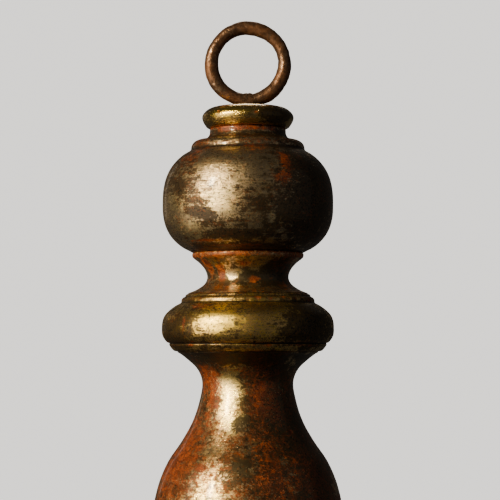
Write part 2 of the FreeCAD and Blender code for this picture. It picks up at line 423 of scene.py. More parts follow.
@dataclass(frozen=True)
class IronFinish:
    """Bar or sheet iron: brown scale and rust with the high places rubbed to dull metal."""

    name: str
    scale: Colour = (0.180, 0.104, 0.066)
    rust: Colour = (0.31, 0.150, 0.080)
    bright: Colour = (0.50, 0.37, 0.26)
    pit: Colour = (0.016, 0.009, 0.006)
    rubbed: float = 0.0

    def material(self) -> bpy.types.Material:
        """Build the finish.

        Returns:
            The material.
        """
        bench = Bench(self.name)
        broad = bench.cloud(85, 4, 0.6)
        crust = bench.cloud(420, 6, 0.72, None, 0.6)
        pits = bench.cloud(1500, 4, 0.7)
        rust = bench.step(bench.total((broad, 0.5), (crust, 0.5)), 0.42, 0.62)
        bright = bench.total((broad, -0.5), (crust, 0.9), (pits, 0.5))
        bright = bench.step(bright, 0.50 - self.rubbed, 0.66 - self.rubbed)
        colour = bench.tint(rust, self.scale, self.rust)
        colour = bench.tint(bench.times(bright, 0.5), colour, self.bright)
        colour = bench.tint(bench.step(pits, 0.38, 0.28), colour, self.pit)
        metal = bench.mix(bright, bench.mix(rust, 0.60, 0.35), 0.80)
        rough = bench.mix(bright, bench.mix(rust, 0.38, 0.50), 0.33)
        normal = bench.relief(bench.total((crust, 0.7), (pits, 0.3)), 0.18)
        return bench.finish(base_color=colour, metallic=metal, roughness=rough, normal=normal)


@dataclass(frozen=True)
class StageFinish:
    """A plain pale painted surface."""

    name: str
    colour: Colour
    glow: float
    shade: float = 0.35
    roughness: float = 0.9

    def material(self) -> bpy.types.Material:
        """Build the finish.

        Returns:
            The material.
        """
        bench = Bench(self.name)
        return bench.finish(
            base_color=tuple(self.shade * part for part in self.colour),
            roughness=self.roughness,
            emission_color=self.colour,
            emission_strength=self.glow,
        )


GOLD = LeafFinish(
    "gold_leaf_on_bole",
    leaf=(0.80, 0.57, 0.26),
    second_leaf=(1.00, 0.755, 0.24),
    wear=-0.085,
    crest_wear=0.16,
    tarnish=(0.070, 0.047, 0.021),
    tarnishing=0.004,
    spots=0.540,
    specks=0.56,
    gloss=0.31,
    varnish=0.22,
)
CAP_GOLD = replace(
    GOLD,
    name="bright_gold_leaf_on_bole",
    wear=-0.115,
    tarnishing=-0.085,
    spots=0.63,
    specks=0.62,
    gloss=0.21,
    varnish=0.6,
)
SILVER = LeafFinish(
    "tarnished_silver_leaf",
    leaf=(0.67, 0.54, 0.37),
    second_leaf=(0.92, 0.76, 0.46),
    wear=-0.052,
    tarnish=(0.058, 0.038, 0.021),
    tarnishing=0.000,
    spots=0.535,
    specks=0.59,
    gloss=0.34,
    drag=2.1,
)
WORN = LeafFinish(
    "worn_silver_leaf_on_bole",
    leaf=(0.74, 0.58, 0.36),
    second_leaf=(0.98, 0.79, 0.38),
    wear=0.012,
    tarnish=(0.056, 0.042, 0.024),
    tarnishing=-0.010,
    spots=0.55,
    gloss=0.29,
    drag=1.15,
    scoring=0.08,
)
# A lighter copy of the worn leaf for the spool: partly a brighter bole, partly painted light, making up for the
# shade that the ball and the collar cast into the spool's hollow.
SPOOL_LIT_WORN = replace(WORN, name="bright_bole_under_worn_leaf_painted_lit", bole=(0.74, 0.225, 0.070), leaf=(0.84, 0.68, 0.42))
BAR_IRON = IronFinish("rusty_bar_iron", rubbed=0.03)
SHEET_IRON = IronFinish("dark_sheet_iron", scale=(0.045, 0.032, 0.024), rust=(0.12, 0.052, 0.022))


# ---- Turned pieces ----


TENON_R = 8.0
TENON_LENGTH = 5.0
SOCKET_R = 8.15
SOCKET_DEPTH = 5.4
# How far apart an outline's points are, in millimetres, where a stretch is seen, flat, hidden or a tiny step.
SEEN, FLAT, HIDDEN, BORE, STEP = 0.55, 1.5, 2.0, 4.0, 0.3
# Leaf is laid in square sheets. Each sheet is a little darker or more rubbed than the next.
SHEET_HEIGHT = 34.0
SHEET_ROWS, SHEETS_AROUND = 6, 9
SHEET_TARNISH, SHEET_RUB = 0.14, 0.06
# How strongly a bend in the outline counts as a crest or a hollow, and how slight a bend counts as neither.
BEND_GAIN, BEND_SLACK = 1.1, 0.05
# How far from a patch its ragged edge can reach, and the depth and fineness of the raggedness.
PATCH_REACH = 2.5
PATCH_RAGGED = ((0.45, 260), (0.25, 900))
# How wide and deep a knock is, in millimetres, how much leaf it takes, and which ridges stand proud enough for one.
KNOCK_REACH, KNOCK_DEPTH, KNOCK_RUB = (0.7, 2.3), (0.10, 0.42), 0.6
PROUD = 0.25


class Outline:
    """Half section of a turned piece, in millimetres: points of (radius, depth below the piece's top)."""

    def __init__(self, r: float, depth: float, pitch: float = SEEN) -> None:
        """Start the outline.

        Args:
            r: Radius of the first point.
            depth: Depth of the first point.
            pitch: How far apart the points of a smooth stretch are.
        """
        self.points: list[Point] = [(r, depth)]
        self.pitch = pitch

    def line(self, r: float, depth: float, pitch: float | None = None) -> "Outline":
        """Add a straight stretch, with its own pitch if it is given one."""
        r0, d0 = self.points[-1]
        count = max(1, round(math.dist((r0, d0), (r, depth)) / (pitch or self.pitch)))
        for i in range(1, count + 1):
            self.points.append((r0 + (r - r0) * i / count, d0 + (depth - d0) * i / count))
        return self

    def arc(self, through: Point, to: Point) -> "Outline":
        """Add a round stretch through one point to another."""
        (ax, ay), (bx, by), (cx, cy) = self.points[-1], through, to
        double = 2 * (ax * (by - cy) + bx * (cy - ay) + cx * (ay - by))
        a2, b2, c2 = ax * ax + ay * ay, bx * bx + by * by, cx * cx + cy * cy
        mx = (a2 * (by - cy) + b2 * (cy - ay) + c2 * (ay - by)) / double
        my = (a2 * (cx - bx) + b2 * (ax - cx) + c2 * (bx - ax)) / double
        radius = math.dist((ax, ay), (mx, my))
        start = math.atan2(ay - my, ax - mx)
        turn = math.tau
        middle = (math.atan2(by - my, bx - mx) - start) % turn
        sweep = (math.atan2(cy - my, cx - mx) - start) % turn
        if middle > sweep:
            sweep -= turn
        count = max(3, round(abs(sweep) * radius / self.pitch))
        for i in range(1, count + 1):
            angle = start + sweep * i / count
            self.points.append((mx + radius * math.cos(angle), my + radius * math.sin(angle)))
        return self

    def curve(self, knots: Sequence[Point], leave: Point, arrive: Point) -> "Outline":
        """Add a smooth stretch.

        Args:
            knots: Points that it goes through.
            leave: Direction at its start.
            arrive: Direction at its end.

        Returns:
            The outline.
        """
        path = [Vector(p) for p in (self.points[-1], *knots)]
        gaps = [(b - a).length for a, b in zip(path, path[1:])]
        slopes = [Vector(leave).normalized()]
        for i in range(1, len(path) - 1):
            before = (path[i] - path[i - 1]) / gaps[i - 1]
            after = (path[i + 1] - path[i]) / gaps[i]
            slopes.append((before * gaps[i] + after * gaps[i - 1]) / (gaps[i] + gaps[i - 1]))
        slopes.append(Vector(arrive).normalized())
        for i, gap in enumerate(gaps):
            count = max(2, round(gap / self.pitch))
            for k in range(1, count + 1):
                t = k / count
                p = path[i] * (2 * t**3 - 3 * t**2 + 1) + path[i + 1] * (3 * t**2 - 2 * t**3)
                p += slopes[i] * gap * (t**3 - 2 * t**2 + t) + slopes[i + 1] * gap * (t**3 - t**2)
                self.points.append((p.x, p.y))
        return self


def swelling(half_width: float, half_height: float, power: float, r_end: float, steps: int) -> list[Point]:
    """Points of |r/a|^p + |z/b|^p = 1.

    Args:
        half_width: a.
        half_height: b.
        power: p; over 2 is squarer than an ellipse.
        r_end: Radius where the stretch ends.
        steps: How many points.

    Returns:
        (radius, distance from the widest level), from there to r_end.
    """
    end = math.acos((r_end / half_width) ** (power / 2))
    angles = [end * i / steps for i in range(1, steps + 1)]
    return [
        (half_width * math.cos(a) ** (2 / power), half_height * math.sin(a) ** (2 / power))
        for a in angles
    ]


def soften(bm: bmesh.types.BMesh, verts: Sequence[bmesh.types.BMVert]) -> None:
    """Move each point half way to its neighbours' middle."""
    bmesh.ops.smooth_vert(bm, verts=verts, factor=0.5, use_axis_x=True, use_axis_y=True, use_axis_z=True)


def falloff(distance: float) -> float:
    """A smooth bell: 1 at distance 0, and 0 at 1 and beyond."""
    inside = max(0.0, 1.0 - distance * distance)
    return inside * inside


@dataclass(frozen=True)
class Patch:
    """A place where a mark is stronger or weaker than the finish alone makes it.

    Angles are degrees from the front, positive towards +X. Heights are millimetres below the loop's crown.
    """

    mark: Mark
    angle: float
    height: float
    across: float
    tall: float
    strength: float = 1.0

    def at(self, place: Vector) -> float:
        """How strong the patch is at a place, in metres, with a ragged edge."""
        angle = math.degrees(math.atan2(place.x, -place.y))
        apart = (angle - self.angle + 180) % 360 - 180
        sideways = math.radians(apart) * math.hypot(place.x, place.y) / MM / self.across
        upwards = (place.z / MM + self.height) / self.tall
        distance = math.hypot(sideways, upwards)
        if distance > PATCH_REACH:
            return 0.0
        ragged = sum((depth * noise.noise(place * fineness) for depth, fineness in PATCH_RAGGED), 1.0)
        return self.strength * falloff(distance * ragged)


def patches(**marks: Sequence[tuple[float, ...]]) -> tuple[Patch, ...]:
    """Patches by the name of their mark. Each row is an angle, a height, across, tall and a strength."""
    return tuple(Patch(Mark(name), *row) for name, rows in marks.items() for row in rows)


@dataclass
class Turning:
    """A section turned on a lathe. A subclass gives its outline; this class makes the mesh and dresses it."""

    node: str
    body: Body
    slot: Slot
    finish: LeafFinish
    patches: tuple[Patch, ...] = ()
    nicks: int = 14
    seed: int = 1
    segments: int = 208
    bore_r: float = 3.5
    edge_softening: int = 2
    swell_mm: float = 0.16
    ripple_mm: float = 0.05
    chatter_mm: float = 0.022
    tenon_rise: float = TENON_LENGTH
    top: float = field(init=False)

    def __post_init__(self) -> None:
        """Take the level of the section's top shoulder from the frame."""
        self.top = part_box(self.node)[1].z / MM - self.tenon_rise

    def outline(self) -> Outline:
        """The section's closed half outline, clockwise from the bore's upper end."""
        raise NotImplementedError

    def wire(self, bm: bmesh.types.BMesh) -> list[bmesh.types.BMEdge]:
        """Lay the outline in the plane x = 0, at the back, with its crests and hollows marked.

        Args:
            bm: The empty mesh.

        Returns:
            The outline's edges.
        """
        points = self.outline().points
        closed = math.dist(points[0], points[-1]) < 1e-6
        if closed:
            points = points[:-1]
        crest = bm.verts.layers.float.new(Mark.CREST.value)
        hollow = bm.verts.layers.float.new(Mark.HOLLOW.value)
        verts = [bm.verts.new((0, r * MM, (self.top - depth) * MM)) for r, depth in points]
        edges = [bm.edges.new(pair) for pair in zip(verts, verts[1:])]
        if closed:
            edges.append(bm.edges.new((verts[-1], verts[0])))
        bends = [self.bend(points, i, closed) for i in range(len(points))]
        for _ in range(3):
            bends = [(bends[i - 1] + 2 * b + bends[(i + 1) % len(bends)]) / 4 for i, b in enumerate(bends)]
        for vert, amount in zip(verts, bends):
            for layer, proud in ((crest, amount), (hollow, -amount)):
                vert[layer] = min(1.0, max(0.0, proud * BEND_GAIN - BEND_SLACK))
        for _ in range(self.edge_softening):
            loose = [v for v in verts if len(v.link_edges) == 2]
            soften(bm, loose)
        return edges

    @staticmethod
    def bend(points: Sequence[Point], i: int, closed: bool) -> float:
        """How sharply the outline turns at a point, in radians a millimetre, positive where it stands proud."""
        if not closed and i in (0, len(points) - 1):
            return 0.0
        before, here, after = (Vector(points[k % len(points)]) for k in (i - 1, i, i + 1))
        a, b = here - before, after - here
        if a.length < 1e-6 or b.length < 1e-6:
            return 0.0
        return a.cross(b) / (a.length * b.length) / ((a.length + b.length) / 2)

    def turn(self) -> bmesh.types.BMesh:
        """Spin the outline into a closed skin.

        Returns:
            The mesh, with its faces pointing outwards.
        """
        bm = bmesh.new()
        edges = self.wire(bm)
        bmesh.ops.spin(
            bm,
            geom=[*bm.verts, *edges],
            axis=UP,
            cent=(0, 0, 0),
            angle=math.tau,
            steps=self.segments,
            use_merge=True,
        )
        bmesh.ops.remove_doubles(bm, verts=bm.verts, dist=0.002 * MM)
        bmesh.ops.recalc_face_normals(bm, faces=bm.faces)
        return bm

    def age(self, bm: bmesh.types.BMesh) -> None:
        """Make the skin uneven as hand work is, knock its ridges, and mark where the leaf has suffered and where
        painted highlights and painted shade go.

        Args:
            bm: The spun mesh.
        """
        crest = bm.verts.layers.float[Mark.CREST.value]
        layers = {mark: bm.verts.layers.float.new(mark.value) for mark in (Mark.RUB, Mark.TARNISH_AND_SHADE, Mark.GILT_AND_HIGHLIGHT)}
        bm.normal_update()
        outside = [v for v in bm.verts if math.hypot(v.co.x, v.co.y) > (self.bore_r + 5) * MM]
        if not outside:
            return
        draw = random.Random(self.seed)
        sheets = [[draw.uniform(-1, 1) for _ in range(SHEETS_AROUND)] for _ in range(SHEET_ROWS)]
        ridges = [v.co.copy() for v in outside if v[crest] > PROUD] or [v.co.copy() for v in outside]
        knocks = [
            (draw.choice(ridges), draw.uniform(*KNOCK_REACH) * MM, draw.uniform(*KNOCK_DEPTH) * MM)
            for _ in range(self.nicks)
        ]
        for vert in outside:
            place = vert.co.copy()
            shift = self.swell_mm * MM * noise.noise(place * 22)
            shift += self.ripple_mm * MM * noise.noise(place * 110)
            shift += self.chatter_mm * MM * noise.noise(Vector((place.x * 60, place.y * 60, place.z * 1400)))
            for centre, reach, deep in knocks:
                gap = (place - centre).length
                if gap < reach:
                    hit = falloff(gap / reach)
                    shift -= deep * hit
                    vert[layers[Mark.RUB]] += KNOCK_RUB * hit
            vert.co = place + vert.normal * shift
            lap = self.lap(place, sheets)
            vert[layers[Mark.TARNISH_AND_SHADE]] += SHEET_TARNISH * lap
            vert[layers[Mark.RUB]] += SHEET_RUB * lap
            for patch in self.patches:
                vert[layers[patch.mark]] += patch.at(place)

    def lap(self, place: Vector, sheets: Sequence[Sequence[float]]) -> float:
        """How dark the sheet of leaf at a place is, from -1 to 1.

        Args:
            place: The place, in metres.
            sheets: A value for each sheet, in rows from the top down.

        Returns:
            The sheet's value.
        """
        ragged = 1.4 * noise.noise(place * 190) + 0.5 * noise.noise(place * 800)
        depth = self.top - place.z / MM + ragged
        row = int(depth // SHEET_HEIGHT)
        around = math.degrees(math.atan2(place.x, -place.y)) + 1.5 * ragged + 17 * row
        across = int(around % 360 // (360 / SHEETS_AROUND))
        return sheets[row % SHEET_ROWS][across % SHEETS_AROUND]

    def build(self) -> bpy.types.Object:
        """Make the piece, dress it and set it in the frame.

        Returns:
            The piece.
        """
        bm = self.turn()
        self.age(bm)
        piece = as_object(bm, "turned_" + self.node)
        piece.data.materials.append(finish_of(self.finish))
        seat(piece, self.body, [self.node])
        return piece


@dataclass
class Cap(Turning):
    """The bun-shaped top section."""

    washer_r: float = 11.0
    washer_thickness: float = 2.0
    height: float = 10.2
    top_r: float = 15.5
    tenon_rise: float = 0.0

    def outline(self) -> Outline:
        """The bun, with the washer's recess above and the socket below."""
        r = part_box(self.node)[1].x / MM
        path = Outline(self.bore_r, self.washer_thickness)
        path.line(self.washer_r, self.washer_thickness, HIDDEN).line(self.washer_r, 0).line(self.top_r, 0)
        path.curve([(r - 2.2, 1.6), (r, 4.7), (r - 0.7, 7.3), (r - 2.1, 9.5)], (1, 0.1), (-0.6, 1))
        path.arc((r - 2.6, self.height - 0.2), (r - 3.4, self.height))
        return below_socket(path, self.height, self.bore_r, self.washer_thickness)


@dataclass
class Ball(Turning):
    """The ball, with a neck band, a cove and a rounded fillet above it."""

    height: float = 59.9
    widest: float = 36.7
    upper: float = 30.7
    lower: float = 27.1
    power: float = 2.6
    band_r: float = 18.3
    fillet_r: float = 27.4
    base_r: float = 26.9

    def outline(self) -> Outline:
        """The ball between its upper tenon and its lower socket."""
        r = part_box(self.node)[1].x / MM
        shoulder = [(x, self.widest - z) for x, z in reversed(swelling(r, self.upper, self.power, self.fillet_r, 6))]
        flank = [(x, self.widest + z) for x, z in swelling(r, self.lower, self.power, self.base_r, 6)]
        path = above_tenon(self.bore_r).line(self.band_r, 0).line(self.band_r, 2.5)
        path.arc((19.6, 4.7), (23.3, 5.9)).arc((25.9, 6.8), (27.3, 9.0)).line(*shoulder[0])
        path.curve([*shoulder[1:], (r, self.widest)], (1, 0.75), (0, 1))
        path.curve(flank, (0, 1), (-1, 0.75)).line(self.base_r, self.height)
        return below_socket(path, self.height, self.bore_r, -TENON_LENGTH)


@dataclass
class Spool(Turning):
    """The hollow spool between ball and collar."""

    height: float = 19.7
    band_r: float = 26.9
    throat_r: float = 19.5
    throat: float = 11.8
    flare_r: float = 29.5

    def outline(self) -> Outline:
        """The band and the hollow, with a tenon at each end."""
        path = above_tenon(self.bore_r).line(self.band_r - 0.3, 0)
        path.arc((self.band_r, 1.2), (self.band_r - 0.3, 2.4)).line(self.band_r - 0.7, 2.7)
        path.curve([(22.9, 5.4), (20.5, 8.4), (self.throat_r, self.throat)], (-1, 0.85), (0, 1))
        path.curve([(20.5, 14.6), (23.2, 16.9), (self.flare_r, self.height)], (0, 1), (1, 0.35))
        path.line(TENON_R, self.height, HIDDEN).line(TENON_R, self.height + TENON_LENGTH, HIDDEN)
        path.line(self.bore_r, self.height + TENON_LENGTH, HIDDEN)
        return path.line(self.bore_r, -TENON_LENGTH, BORE)


@dataclass
class Collar(Turning):
    """The wide collar: two stepped fillets, a bun and a raked band below a groove."""

    height: float = 27.6
    groove_r: float = 37.4
    tenon_rise: float = 0.0

    def outline(self) -> Outline:
        """The collar between its two sockets."""
        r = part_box(self.node)[1].x / MM
        path = Outline(self.bore_r, SOCKET_DEPTH)
        path.line(SOCKET_R, SOCKET_DEPTH, HIDDEN).line(SOCKET_R, 0, HIDDEN).line(29.5, 0, FLAT)
        path.arc((30.1, 0.7), (29.8, 1.5)).line(31.0, 1.7).arc((31.9, 2.8), (32.0, 4.0)).line(31.8, 4.3)
        path.curve([(36.6, 7.1), (40.1, 10.8), (r, 15.6)], (1, 0.42), (0, 1))
        path.curve([(40.9, 20.0), (38.5, 23.4)], (0, 1), (-1, 0.85))
        path.line(self.groove_r, 23.6, STEP).line(self.groove_r, 23.9, STEP).line(self.groove_r + 0.5, 24.1, STEP)
        path.arc((36.8, 25.8), (35.1, self.height))
        return below_socket(path, self.height, self.bore_r, SOCKET_DEPTH)


@dataclass
class Pear(Turning):
    """The pear-shaped section."""

    height: float = 124.0
    rim_r: float = 34.5
    neck_r: float = 21.7
    neck: float = 15.4
    belly: float = 85.6
    lower: float = 40.0
    power: float = 2.2
    foot_r: float = 19.0

    def outline(self) -> Outline:
        """The pear between its upper tenon and its lower socket."""
        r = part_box(self.node)[1].x / MM
        base = [(x, self.belly + z) for x, z in swelling(r, self.lower, self.power, self.foot_r, 7)]
        path = above_tenon(self.bore_r, 0.75).line(self.rim_r, 0, FLAT)
        path.curve([(28.3, 4.2), (24.2, 8.2), (22.3, 11.9), (self.neck_r, self.neck)], (-1, 0.35), (0, 1))
        shoulder = [(23.0, 23.1), (26.1, 32.7), (31.6, 42.8), (37.8, 51.9), (42.1, 61.5), (44.9, 73.0)]
        path.curve([*shoulder, (r, self.belly)], (0, 1), (0, 1))
        path.curve(base, (0, 1), (-1, 0.35)).line(self.foot_r, self.height)
        return below_socket(path, self.height, self.bore_r, -TENON_LENGTH)


@dataclass
class FootCollar(Turning):
    """The small collar under the pear, recessed below for the nut."""

    height: float = 13.4
    fillet_r: float = 20.6
    bead_edge_r: float = 18.2
    bead_r: float = 21.5
    recess_r: float = 8.4
    recess_top: float = 6.9

    def outline(self) -> Outline:
        """A fillet, a cove, a bead and a lower fillet."""
        path = above_tenon(self.bore_r, 0.4).line(self.fillet_r - 0.4, 0, FLAT)
        path.arc((self.fillet_r, 0.9), (self.fillet_r - 0.4, 1.8)).line(self.fillet_r - 1.6, 2.0)
        path.arc((16.6, 3.8), (self.bead_edge_r, 5.8)).arc((self.bead_r, 8.7), (self.bead_edge_r, 11.6))
        path.line(16.8, 11.9).line(16.4, self.height).line(self.recess_r, self.height, FLAT)
        path.line(self.recess_r, self.recess_top, HIDDEN).line(self.bore_r, self.recess_top, HIDDEN)
        return path.line(self.bore_r, -TENON_LENGTH, BORE)


@dataclass
class Drop(Turning):
    """The drop that ends the pendant: a fillet, a cove, an onion and a small bead."""

    height: float = 32.0
    ferrule_r: float = 5.0
    bore_depth: float = 10.2
    onion_r: float = 15.0
    onion_end_r: float = 3.0
    bead_r: float = 3.4
    tenon_rise: float = 0.0

    def outline(self) -> Outline:
        """The drop from its bore, over the outside, to its tip and back up the axis to the bore's floor."""
        bead_centre = self.height - self.bead_r
        bead_start = bead_centre - math.sqrt(self.bead_r**2 - self.onion_end_r**2)
        path = Outline(0, self.bore_depth, 0.4).line(self.ferrule_r, self.bore_depth, 1.2)
        path.line(self.ferrule_r, 0, HIDDEN).line(15.0, 0, FLAT).arc((15.5, 0.9), (15.0, 1.8)).line(14.0, 2.0)
        path.curve([(11.5, 3.6), (10.6, 6.0)], (-1, 0.35), (0, 1))
        path.curve([(12.4, 9.2), (self.onion_r, 14.4)], (0.4, 1), (0, 1))
        path.curve([(12.9, 19.8), (7.4, 24.0), (self.onion_end_r, bead_start)], (0, 1), (-0.6, 1))
        return path.arc((self.bead_r, bead_centre), (0, self.height))


def above_tenon(bore_r: float, pitch: float = SEEN) -> Outline:
    """The start of an outline: round a tenon that stands on the shoulder."""
    path = Outline(bore_r, -TENON_LENGTH, pitch)
    return path.line(TENON_R, -TENON_LENGTH, HIDDEN).line(TENON_R, 0, HIDDEN)


def below_socket(path: Outline, height: float, bore_r: float, bore_top: float) -> Outline:
    """The end of an outline: across the lower face, round its socket and up the bore.

    Args:
        path: The outline so far.
        height: Depth of the lower face.
        bore_r: Radius of the bore.
        bore_top: Depth of the bore's upper end, where the outline began.

    Returns:
        The closed outline.
    """
    floor = height - SOCKET_DEPTH
    path.line(SOCKET_R, height, FLAT).line(SOCKET_R, floor, HIDDEN).line(bore_r, floor, HIDDEN)
    return path.line(bore_r, bore_top, BORE)


# ---- Ironwork ----


@dataclass
class EyeRod:
    """The forged bar: a closed loop whose limbs bend down into one rod."""

    node: str = "eye_rod"
    finish: IronFinish = BAR_IRON
    neck_r: float = 5.0
    around: int = 56
    loop_steps: int = 132
    bend_steps: int = 36
    rod_steps: int = 150
    fade: float = 2.5
    weld: float = 1.5
    weld_half_width: float = 2.6
    weld_passes: int = 5
    crust: float = 0.2
    waves: float = 0.30
    lumps: float = 0.15
    pits: float = 0.34
    out_of_round: float = 0.20

    def limb(self) -> bmesh.types.BMesh:
        """Sweep the left limb: down the loop's side, round the bend and along the rod.

        Returns:
            The open tube, its start at the crown in the plane x = 0.
        """
        low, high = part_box(self.node)
        bar_r = (high.y - low.y) / 2
        mean_r = high.x - bar_r
        centre = Vector((0, 0, high.z - high.x))
        neck_r = self.neck_r * MM
        lean = math.asin(neck_r / (mean_r + neck_r))
        neck = centre + Vector((-neck_r, 0, -(mean_r + neck_r) * math.cos(lean)))
        bm = bmesh.new()
        crown = Matrix.Translation(centre + UP * mean_r) @ Matrix.Rotation(math.pi / 2, 4, "Y")
        bmesh.ops.create_circle(bm, cap_ends=False, radius=bar_r, segments=self.around, matrix=crown)
        last = [*bm.verts, *bm.edges]
        stretches = (
            (centre, -(math.pi - lean), self.loop_steps),
            (neck, math.pi / 2 - lean, self.bend_steps),
        )
        for cent, angle, steps in stretches:
            made = bmesh.ops.spin(bm, geom=last, cent=cent, axis=(0, 1, 0), angle=angle, steps=steps)
            last = made["geom_last"]
        fall = (low.z - neck.z) / self.rod_steps
        made = bmesh.ops.spin(
            bm, geom=last, cent=neck, axis=(0, 1, 0), angle=0, dvec=(0, 0, fall), steps=self.rod_steps
        )
        rim = [e for e in made["geom_last"] if isinstance(e, bmesh.types.BMEdge)]
        bmesh.ops.edgeloop_fill(bm, edges=rim)
        return bm

    def forge(self, bm: bmesh.types.BMesh) -> None:
        """Join the limb to its mirror image, and leave the surface as hammer and rust have left it.

        Args:
            bm: The left limb.
        """
        geom = [*bm.verts, *bm.edges, *bm.faces]
        bmesh.ops.bisect_plane(bm, geom=geom, dist=1e-7, plane_co=(0, 0, 0), plane_no=(1, 0, 0), clear_outer=True)
        geom = [*bm.verts, *bm.edges, *bm.faces]
        bmesh.ops.mirror(bm, geom=geom, matrix=Matrix.Identity(4), merge_dist=1e-6, axis="X")
        bmesh.ops.remove_doubles(bm, verts=bm.verts, dist=2e-6)
        bmesh.ops.recalc_face_normals(bm, faces=bm.faces)
        low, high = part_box(self.node)
        heel = high.z - 2 * high.x
        bm.normal_update()
        reach = self.weld_half_width * MM
        crotch = [v for v in bm.verts if abs(v.co.x) < reach and heel + 1 * MM < v.co.z < heel + 8 * MM]
        for vert in crotch:
            if vert.normal.z > 0:
                vert.co.z += self.weld * MM * falloff(vert.co.x / reach)
        for _ in range(self.weld_passes):
            soften(bm, crotch)
        bm.normal_update()
        centre = Vector((0, 0, high.z - high.x))
        for vert in bm.verts:
            place = vert.co.copy()
            share = min(1.0, (place.z - heel) / (self.fade * MM))
            if share <= 0:
                continue
            shift = self.crust + self.waves * noise.noise(place * 130)
            shift += self.lumps * noise.noise(place * 420)
            shift -= self.pits * max(0.0, noise.noise(place * 900 + Vector((3, 1, 7))) - 0.26)
            angle = math.atan2(place.x, (place - centre).z)
            shift += self.out_of_round * math.sin(3 * angle + 1)
            vert.co = place + vert.normal * (shift * share * MM)

    def build(self) -> bpy.types.Object:
        """Make the piece, dress it and set it in the frame.

        Returns:
            The piece.
        """
        bm = self.limb()
        self.forge(bm)
        piece = as_object(bm, "forged_" + self.node)
        piece.data.materials.append(finish_of(self.finish))
        seat(piece, Body.ROD_GROUP, [self.node])
        return piece


@dataclass
class SmallIron:
    """The washers, nut and ferrule, which keep their shapes from the frame and get a finish."""

    nodes: tuple[str, ...] = ("top_washer", "clamp_washer", "clamp_nut", "drop_ferrule")
    finish: IronFinish = SHEET_IRON

    def dress(self) -> list[bpy.types.Object]:
        """Give each node the iron finish.

        Returns:
            The pieces.
        """
        pieces = [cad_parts[name] for name in self.nodes]
        for piece in pieces:
            for place in piece.material_slots:
                place.material = finish_of(self.finish)
        return pieces


# ---- The whole ----

_finishes: dict[str, bpy.types.Material] = {}


def finish_of(finish: LeafFinish | IronFinish | StageFinish) -> bpy.types.Material:
    """The material of a finish, made the first time that it is asked for."""
    if finish.name not in _finishes:
        _finishes[finish.name] = finish.material()
    return _finishes[finish.name]


def as_object(bm: bmesh.types.BMesh, name: str) -> bpy.types.Object:
    """Put a mesh in the scene.

    Args:
        bm: The mesh, which is freed.
        name: The piece's name.

    Returns:
        The object, at the origin, shaded smooth.
    """
    mesh = bpy.data.meshes.new(name)
    bm.to_mesh(mesh)
    bm.free()
    mesh.shade_smooth()
    piece = bpy.data.objects.new(name, mesh)
    bpy.context.scene.collection.objects.link(piece)
    return piece


def seat(piece: bpy.types.Object, body: Body, nodes: Iterable[str]) -> None:
    """Set a piece in the frame.

    Args:
        piece: The new piece.
        body: What it rides on.
        nodes: The nodes that it stands for.
    """
    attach(piece, body.value)
    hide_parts(*nodes)


@dataclass
class Pendant:
    """The whole object, from the loop down."""

    def turnings(self) -> list[Turning]:
        """The turned sections, from the top down."""
        stack = Body.TURNED_STACK
        return [
            Cap("cap", stack, Slot.GOLD_LEAF, CAP_GOLD, CAP_PATCHES, nicks=10, seed=11),
            Ball("ball", stack, Slot.SILVER_LEAF, SILVER, BALL_PATCHES, nicks=16, seed=12),
            Spool("spool", stack, Slot.WORN_LEAF, SPOOL_LIT_WORN, SPOOL_PATCHES, nicks=12, seed=13),
            Collar("collar", stack, Slot.GOLD_LEAF, GOLD, COLLAR_PATCHES, nicks=34, seed=14),
            Pear("pear", stack, Slot.WORN_LEAF, WORN, PEAR_PATCHES, nicks=10, seed=15),
            FootCollar("foot_collar", stack, Slot.GOLD_LEAF, GOLD, (), nicks=14, seed=16, segments=160),
            Drop("drop", Body.ROD_GROUP, Slot.WORN_LEAF, WORN, (), nicks=8, seed=17, segments=128),
        ]

    def build(self) -> list[bpy.types.Object]:
        """Make and dress every piece.

        Returns:
            The pieces.
        """
        pieces = [EyeRod().build(), *SmallIron().dress()]
        pieces += [turning.build() for turning in self.turnings()]
        return pieces


# On the cap, the tarnish row at 40 degrees darkens the side away from the key lamp: partly tarnish, partly painted
# shade. The gilt row and the tarnish row of negative strength at -26 degrees are a painted highlight: paler, cleaner
# leaf where the key lamp's highlight falls.
CAP_PATCHES = patches(
    rub=((-35, 36.5, 9, 1.6, 0.5), (10, 36.6, 16, 1.2, 0.4)),
    tarnish=((40, 41, 18, 8, 0.7), (-26, 39.6, 12, 3.6, -0.9)),
    gilt=((-26, 39.6, 14, 4, 0.9),),
)
# On the ball, the tarnish row at 50 degrees darkens the side away from the key lamp: partly tarnish, partly painted
# shade.
BALL_PATCHES = patches(
    rub=(
        (-24, 47.2, 14, 2.1, 1.3), (14, 47.6, 9, 1.5, 0.7), (36, 47.6, 8, 1.6, 0.5), (28, 65, 5, 8, 0.62),
        (120, 70, 9, 12, 0.45), (-140, 92, 14, 8, 0.45), (175, 62, 18, 6, 0.35), (24, 73, 6, 4, 0.55),
        (8, 57, 10, 4, 0.38), (-50, 62, 12, 8, 0.25), (-34, 101.2, 15, 0.8, 0.8), (-8, 103.6, 17, 0.8, 0.8),
        (-24, 53, 13, 2.4, -0.35),
    ),
    tarnish=(
        (50, 82, 32, 28, 0.42), (2, 70, 12, 10, -0.22), (-10, 60, 26, 6, -0.34), (-52, 77, 5, 4, 0.7),
        (-36, 88, 14, 3, 0.5), (-10, 99, 22, 4, 0.5), (-4, 104.5, 34, 3.2, 0.55), (-25, 68, 18, 14, -0.30),
        (-18, 84, 11, 9, -0.35), (-50, 92, 16, 12, -0.25), (16, 91, 2.4, 3.6, -0.65),
    ),
    gilt=((-52, 82, 14, 7, 0.8), (-20, 84, 10, 9, 0.8), (-40, 97, 16, 7, 0.8), (16, 91, 2.2, 3.4, 0.8)),
)
